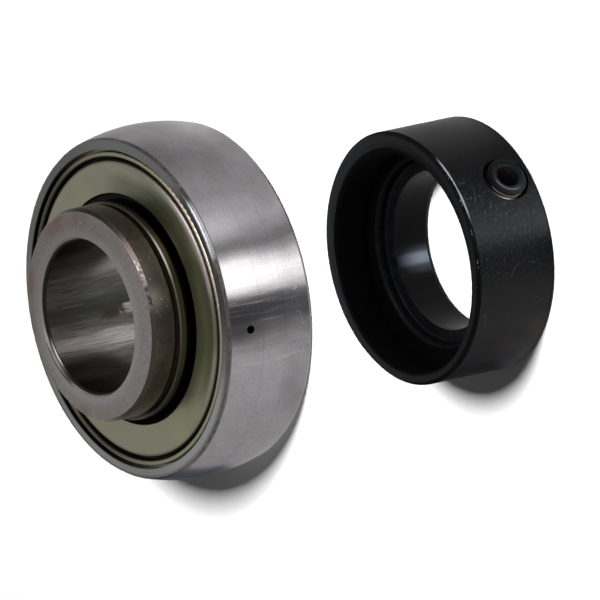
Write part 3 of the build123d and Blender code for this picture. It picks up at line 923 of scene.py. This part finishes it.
def dress(nodes, material):
    """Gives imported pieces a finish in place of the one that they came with."""
    for name in nodes:
        piece = NODES[name]
        piece.data.materials.clear()
        piece.data.materials.append(material)


def new_piece(name, mesh):
    made = bpy.data.objects.new(name, mesh)
    bpy.context.scene.collection.objects.link(made)
    return made


class BEARING_OT_outer_ring(bpy.types.Operator):
    """Finish the outer ring in ground steel"""
    bl_idname = "bearing.outer_ring"
    bl_label = "Outer ring"

    def execute(self, context):
        dress(["outer_ring"], ground_steel(context.scene.bearing_steel))
        return {"FINISHED"}


class BEARING_OT_inner_ring(bpy.types.Operator):
    """Finish the inner ring with its cam in turned steel"""
    bl_idname = "bearing.inner_ring"
    bl_label = "Inner ring"

    def execute(self, context):
        dress(["inner_ring"], turned_steel(context.scene.bearing_steel))
        return {"FINISHED"}


class BEARING_OT_balls_and_cage(bpy.types.Operator):
    """Finish the balls, the cage halves and their rivets"""
    bl_idname = "bearing.balls_and_cage"
    bl_label = "Balls and cage"

    def execute(self, context):
        balls = [name for name in NODES if name.startswith("ball_")]
        dress(balls, hidden_steel("ball_steel", (0.72, 0.72, 0.74), 0.06, 300.0))
        sheet = hidden_steel("cage_sheet", (0.60, 0.59, 0.57), 0.30, 500.0)
        dress(["cage_front_half", "cage_back_half"], sheet)
        dress(["cage_rivets"], hidden_steel("rivet_steel", (0.62, 0.61, 0.59), 0.26, 700.0))
        return {"FINISHED"}


class BEARING_OT_seals(bpy.types.Operator):
    """Finish the seal plates, their rubber lips and the backing plates"""
    bl_idname = "bearing.seals"
    bl_label = "Seals"

    def execute(self, context):
        look = context.scene.bearing_seals
        backing = hidden_steel("seal_backing", (0.50, 0.48, 0.42), 0.32, 600.0)
        finishes = {"plate": zinc_plate(look), "lip": seal_rubber(look), "inner_plate": backing}
        for part, material in finishes.items():
            dress([f"front_seal_{part}", f"back_seal_{part}"], material)
        return {"FINISHED"}


class BEARING_OT_collar(bpy.types.Operator):
    """Finish the eccentric locking collar in black oxide"""
    bl_idname = "bearing.collar"
    bl_label = "Locking collar"

    def execute(self, context):
        dress(["locking_collar"], black_oxide(context.scene.bearing_collar))
        return {"FINISHED"}


def thread_tree(material):
    """Geometry Nodes: cuts a thread into a smooth screw that stands on Z, then lays the screw in its hole."""
    tree = bpy.data.node_groups.new("Cut thread", "GeometryNodeTree")
    sockets = [("Geometry", "INPUT", "Geometry")]
    sockets += [(name, "INPUT", "Float") for name in ("Pitch", "Depth", "Top", "Bottom", "Fade")]
    sockets += [("Place", "INPUT", "Vector"), ("Turn", "INPUT", "Vector"), ("Geometry", "OUTPUT", "Geometry")]
    for name, side, kind in sockets:
        tree.interface.new_socket(name, in_out=side, socket_type="NodeSocket" + kind)
    t = Tree(tree)
    given = {output.name: Value(t, output) for output in t.node("NodeGroupInput").outputs}
    x, y, z = t.parts(t.node("GeometryNodeInputPosition").outputs[0])
    turns = t.math("ARCTAN2", y, x) / (2 * math.pi)
    phase = t.math("FRACT", z / given["Pitch"] + turns)
    ridge = abs(t.math("MULTIPLY_ADD", phase, 2.0, -1.0))
    groove = t.math("MULTIPLY_ADD", ridge, 1.25, -0.125, clamp=True)
    below = t.math("DIVIDE", given["Top"] - z, given["Fade"], clamp=True)
    above = t.math("DIVIDE", z - given["Bottom"], given["Fade"], clamp=True)
    inward = groove * below * above * given["Depth"]
    scale = 1.0 - inward / t.larger(t.reach(x, y), 1e-6)
    marked = t.node("GeometryNodeInputNamedAttribute", {"Name": "shaft"}, data_type="FLOAT").outputs[0]
    cut = t.node("GeometryNodeSetPosition", {
        "Geometry": given["Geometry"],
        "Selection": t.math("GREATER_THAN", marked, 0.5),
        "Position": t.vector(x * scale, y * scale, z),
    })
    laid = t.node("GeometryNodeTransform", {
        "Geometry": cut.outputs[0], "Translation": given["Place"], "Rotation": given["Turn"],
    })
    real = t.node("GeometryNodeRealizeInstances", {"Geometry": laid.outputs[0]})
    painted = t.node("GeometryNodeSetMaterial", {"Geometry": real.outputs[0], "Material": material})
    t.node("NodeGroupOutput", {0: painted.outputs[0]})
    return tree


def screw_rows():
    """Rows of a screw that stands on Z, from the socket's floor to the point: kind, radius and height.

    Hex rows follow the socket's walls, the lead row its bevelled mouth, and shaft rows take the thread. After
    the rows come the radius of that mouth, and the heights where the thread starts and ends.
    """
    mouth = SOCKET_FLAT / math.cos(math.radians(30)) + 0.2
    point = SCREW_CROWN - SCREW_LENGTH
    rows = [
        ("hex", 0.0, SCREW_CROWN - SOCKET_DEPTH), ("lead", 0.0, 0.0),
        ("round", mouth, SCREW_CROWN - 0.04), ("round", mouth + 0.10, SCREW_CROWN),
    ]
    land = mouth + 0.25
    for row in range(1, CROWN_ROWS + 1):
        turn = math.radians(90 * row / CROWN_ROWS)
        radius = land + (SCREW_RADIUS - land) * math.sin(turn)
        rows.append(("round", radius, SCREW_CROWN - CROWN_ROUNDING * (1 - math.cos(turn))))
    top, bottom = SCREW_CROWN - CROWN_ROUNDING, point + POINT_BEVEL
    for row in range(1, SHAFT_ROWS + 1):
        rows.append(("shaft", SCREW_RADIUS, top + (bottom - top) * row / SHAFT_ROWS))
    rows += [("round", SCREW_RADIUS - POINT_BEVEL, point), ("round", CUP_RADIUS, point)]
    return rows, mouth, top, bottom


def screw_blank(name, steps):
    """Closed smooth screw with a hexagon socket, and the heights between which it takes its thread."""
    rows, mouth, top, bottom = screw_rows()
    mesh = bmesh.new()
    marked = mesh.verts.layers.float.new("shaft")
    loops = []
    for kind, row_radius, row_height in rows:
        loop = []
        for number in range(steps):
            turn = 2 * math.pi * number / steps
            radius, height = row_radius, row_height
            if kind in ("hex", "lead"):
                radius = SOCKET_FLAT / math.cos(math.radians(math.degrees(turn) % 60 - 30))
            if kind == "lead":
                height = SCREW_CROWN - (mouth - radius)
            vertex = mesh.verts.new((radius * math.cos(turn) * MM, radius * math.sin(turn) * MM, height * MM))
            vertex[marked] = float(kind == "shaft")
            loop.append(vertex)
        loops.append(loop)
    for here, there in zip(loops, loops[1:]):
        for number in range(steps):
            after = (number + 1) % steps
            mesh.faces.new((here[number], there[number], there[after], here[after]))
    drill_tip, cup_floor = rows[0][2] - 0.4, rows[-1][2] + 0.8
    for loop, height, turned_over in ((loops[0], drill_tip, False), (loops[-1], cup_floor, True)):
        middle = mesh.verts.new((0, 0, height * MM))
        for number in range(steps):
            corners = (middle, loop[number], loop[(number + 1) % steps])
            mesh.faces.new(corners[::-1] if turned_over else corners)
    for face in mesh.faces:
        reach = max(math.hypot(corner.co.x, corner.co.y) for corner in face.verts) / MM
        face.smooth = reach > mouth - 0.01 or face.calc_center_median().z < 0
    blank = bpy.data.meshes.new(name)
    mesh.to_mesh(blank)
    mesh.free()
    return new_piece(name, blank), (top * MM, bottom * MM)


def grown(piece, tree, values):
    """Runs a Geometry Nodes tree on a piece and returns the plain result as a new piece of the same name."""
    modifier = piece.modifiers.new("nodes", "NODES")
    modifier.node_group = tree
    for item in tree.interface.items_tree:
        if item.in_out == "INPUT" and item.name in values:
            modifier[item.identifier] = values[item.name]
    bpy.context.view_layer.update()
    name = piece.name
    mesh = bpy.data.meshes.new_from_object(piece.evaluated_get(bpy.context.evaluated_depsgraph_get()))
    piece.modifiers.clear()
    bpy.data.objects.remove(piece)
    return new_piece(name, mesh)


class BEARING_OT_set_screw(bpy.types.Operator):
    """Make the set screw again with its thread cut, in place of the smooth one"""
    bl_idname = "bearing.set_screw"
    bl_label = "Set screw"

    def execute(self, context):
        look = context.scene.bearing_collar
        blank, (top, bottom) = screw_blank("threaded_set_screw", look.steps)
        turn = math.radians(SCREW_ANGLE)
        place = Vector((
            (COLLAR_AXIS[0] + COLLAR_RADIUS * math.cos(turn)) * MM,
            (COLLAR_AXIS[1] + COLLAR_RADIUS * math.sin(turn)) * MM,
            SCREW_HEIGHT * MM,
        ))
        made = grown(blank, thread_tree(black_screw(look)), {
            "Pitch": look.pitch, "Depth": look.depth, "Top": top, "Bottom": bottom, "Fade": THREAD_FADE * MM,
            "Place": place, "Turn": Vector((0.0, math.radians(90), turn)),
        })
        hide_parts("set_screw")
        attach(made, "set_screw_group")
        return {"FINISHED"}


# Studio


def lathe(name, outline, steps, centre=AXIS):
    """Open sheet turned about an upright axis, from radii and heights in millimetres."""
    points, faces = [], []
    wide = len(outline)
    for number in range(steps):
        turn = math.radians(360 * number / steps)
        for radius, height in outline:
            x, y = centre[0] + radius * math.cos(turn), centre[1] + radius * math.sin(turn)
            points.append((x * MM, y * MM, height * MM))
        here, there = number * wide, (number + 1) % steps * wide
        for row in range(wide - 1):
            faces.append((here + row, there + row, there + row + 1, here + row + 1))
    mesh = bpy.data.meshes.new(name)
    mesh.from_pydata(points, [], faces)
    mesh.polygons.foreach_set("use_smooth", [True] * len(faces))
    return new_piece(name, mesh)


def bare_tree(owner):
    """The node tree of a new material or world, with no shader in it yet."""
    owner.use_nodes = True
    owner.node_tree.nodes.clear()
    return Tree(owner.node_tree)


def seen_plainly(t):
    """1 for what the camera, a mirror or glass sees, and 0 for soft light."""
    path = t.node("ShaderNodeLightPath").outputs
    return t.larger(path["Is Camera Ray"], t.larger(path["Is Glossy Ray"], path["Is Transmission Ray"]))


def glow(name, levels, centre=AXIS, strength=1.0, turned=0.0, changes=()):
    """Card material: brightness by the angle about an axis, changed by factors at the card's top and foot."""
    made = bpy.data.materials.new(name)
    t = bare_tree(made)
    x, y, z = t.millimetres(t.node("ShaderNodeTexCoord").outputs["Object"])
    x, y = x - centre[0], y - centre[1]
    spot = t.share_of_turn(*t.turned(x, y, turned))
    top = t.step(z, -6.0, 4.0)
    foot = t.step(t.reach(x, y), 33.5, 27.5)
    for factors, part in zip(changes, (top, foot)):
        strength = (part * (t.ramp(spot, factors) - 1.0) + 1.0) * strength
    light = t.node("ShaderNodeEmission", {"Color": t.ramp(spot, levels), "Strength": strength})
    t.node("ShaderNodeOutputMaterial", {0: light.outputs[0]})
    return made


def card(piece, material):
    """A studio card that only polished metal shows: the camera and the soft light pass through it."""
    piece.data.materials.append(material)
    for ray in ("camera", "diffuse", "shadow", "transmission", "volume_scatter"):
        setattr(piece, "visible_" + ray, False)


class BEARING_OT_studio(bpy.types.Operator):
    """Set up the floor, the background, the cards, the canopy, the lamp and the camera"""
    bl_idname = "bearing.studio"
    bl_label = "Studio"

    def execute(self, context):
        look = context.scene.bearing_studio
        self.floor(look)
        self.background(context.scene, look)
        self.cards(math.degrees(look.azimuth) - 90.0)
        self.canopy(look)
        self.lamp(look)
        self.camera(context.scene, look)
        return {"FINISHED"}

    def floor(self, look):
        made = lathe("floor", [(0.01, FLOOR_HEIGHT), (FLOOR_RADIUS, FLOOR_HEIGHT)], 96)
        paint = bpy.data.materials.new("floor")
        t = bare_tree(paint)
        matt = t.node("ShaderNodeBsdfDiffuse", {"Color": tuple(look.floor)})
        strength = seen_plainly(t) * FLOOR_GLOW
        lift = t.node("ShaderNodeEmission", {"Color": tuple(look.backdrop), "Strength": strength})
        both = t.node("ShaderNodeAddShader", {0: matt.outputs[0], 1: lift.outputs[0]})
        t.node("ShaderNodeOutputMaterial", {0: both.outputs[0]})
        made.data.materials.append(paint)

    def background(self, scene, look):
        scene.world = bpy.data.worlds.new("studio")
        t = bare_tree(scene.world)
        strength = t.blend(seen_plainly(t), look.fill, 1.0)
        air = t.node("ShaderNodeBackground", {"Color": tuple(look.backdrop), "Strength": strength})
        t.node("ShaderNodeOutputWorld", {0: air.outputs[0]})

    def cards(self, facing):
        """Cards that stand round the seat and the collar, and lie at their feet and below their bores."""
        low = FLOOR_HEIGHT + CARD_LIFT
        seat, seat_wall, seat_top = SEAT_RADIUS - 0.96, SEAT_RADIUS + 8, FACE_HEIGHT + 0.5
        rim, rim_wall, rim_top = COLLAR_RADIUS + 0.2, COLLAR_RADIUS + 6, COLLAR_FRONT + 0.5
        for name, centre, steps, outline, shown in (
            ("ring_reflector", AXIS, 180, [(seat, low), (seat_wall, low), (seat_wall, seat_top)],
             {"levels": TENT, "turned": facing, "changes": (TENT_TOP, TENT_FOOT)}),
            ("ring_foot", AXIS, 180, [(SEAT_RADIUS - 2.0, low), (seat, low)],
             {"levels": FOOT, "strength": 4.6}),
            ("bore_reflector", AXIS, 90, [(0.01, low), (11.0, low)], {"levels": WELL}),
            ("collar_bore_reflector", COLLAR_AXIS, 90, [(0.01, low), (11.3, low)], {"levels": COLLAR_WELL}),
            ("collar_foot", COLLAR_AXIS, 180, [(COLLAR_RADIUS - 3.0, low), (rim, low)],
             {"levels": FOOT, "strength": 0.2}),
            ("collar_reflector", COLLAR_AXIS, 180, [(rim, low), (rim_wall, low), (rim_wall, rim_top)],
             {"levels": COLLAR_TENT, "strength": 4.6, "turned": facing}),
        ):
            card(lathe(name, outline, steps, centre), glow(name, centre=centre, **shown))

    def canopy(self, look):
        rises = [math.radians(rise) for rise in range(4, 90, 5)]
        outline = [(CANOPY_RADIUS * math.cos(rise), CANOPY_RADIUS * math.sin(rise)) for rise in rises]
        made = lathe("canopy", [*outline, (0.01, CANOPY_RADIUS)], 96)
        paint = bpy.data.materials.new("canopy")
        t = bare_tree(paint)
        point = t.node("ShaderNodeTexCoord").outputs["Object"]
        level = t.step(t.parts(point)[2], 0.05, 0.45, look.canopy * 0.45, look.canopy)
        aimed = t.node("ShaderNodeVectorMath", {0: point, 1: SOFT_BOX}, operation="DOT_PRODUCT")
        near = t.step(t.math("DIVIDE", aimed.outputs["Value"], CANOPY_RADIUS * MM), *SOFT_BOX_REACH)
        light = t.node("ShaderNodeEmission", {"Color": (1, 1, 1), "Strength": level + near * look.soft_box})
        t.node("ShaderNodeOutputMaterial", {0: light.outputs[0]})
        card(made, paint)

    def lamp(self, look):
        lamp = bpy.data.lights.new("key_lamp", "AREA")
        lamp.shape, lamp.energy = "RECTANGLE", look.key
        lamp.size, lamp.size_y = LAMP_SIZE
        made = new_piece("key_lamp", lamp)
        made.location = LAMP_PLACE
        away = (LAMP_PLACE - LAMP_AIM).normalized()
        across = Vector((0.0, 1.0, 0.0)).cross(away).normalized()
        made.rotation_mode = "QUATERNION"
        made.rotation_quaternion = Matrix((across, away.cross(across), away)).transposed().to_quaternion()
        made.visible_glossy = False

    def camera(self, scene, look):
        back = Vector((
            math.sin(look.azimuth) * math.cos(look.elevation),
            -math.cos(look.azimuth) * math.cos(look.elevation),
            math.sin(look.elevation),
        ))
        data = bpy.data.cameras.new("camera")
        data.lens, data.sensor_width = look.lens, 36.0
        data.clip_start, data.clip_end = 0.1, 20.0
        made = new_piece("camera", data)
        turn = (-back).to_track_quat("-Z", "Y").to_matrix() @ Matrix.Rotation(look.roll, 3, "Z")
        made.matrix_world = Matrix.Translation(CAMERA_AIM + back * look.distance) @ turn.to_4x4()
        scene.camera = made


STEPS = (
    BEARING_OT_outer_ring,
    BEARING_OT_inner_ring,
    BEARING_OT_balls_and_cage,
    BEARING_OT_seals,
    BEARING_OT_collar,
    BEARING_OT_set_screw,
    BEARING_OT_studio,
)

SETTINGS = {
    "bearing_steel": BearingSteelSettings,
    "bearing_seals": SealSettings,
    "bearing_collar": CollarSettings,
    "bearing_studio": StudioSettings,
}


class BEARING_PT_dresser(bpy.types.Panel):
    """Settings and steps of the bearing's finish"""
    bl_idname = "BEARING_PT_dresser"
    bl_label = "Insert bearing"
    bl_space_type = "VIEW_3D"
    bl_region_type = "UI"
    bl_category = "Bearing"

    def draw(self, context):
        for name in SETTINGS:
            box = self.layout.box()
            group = getattr(context.scene, name)
            for key in group.__annotations__:
                box.prop(group, key)
        for step in STEPS:
            self.layout.operator(step.bl_idname)


def register():
    for name, group in SETTINGS.items():
        bpy.utils.register_class(group)
        setattr(bpy.types.Scene, name, PointerProperty(type=group))
    for step in (*STEPS, BEARING_PT_dresser):
        bpy.utils.register_class(step)


def unregister():
    for step in (BEARING_PT_dresser, *reversed(STEPS)):
        bpy.utils.unregister_class(step)
    for name, group in SETTINGS.items():
        delattr(bpy.types.Scene, name)
        bpy.utils.unregister_class(group)


def main():
    register()
    for step in STEPS:
        group, name = step.bl_idname.split(".")
        getattr(getattr(bpy.ops, group), name)()
    bpy.context.scene.view_settings.view_transform = "Standard"
    bpy.context.view_layer.update()


if __name__ == "__main__":
    main()
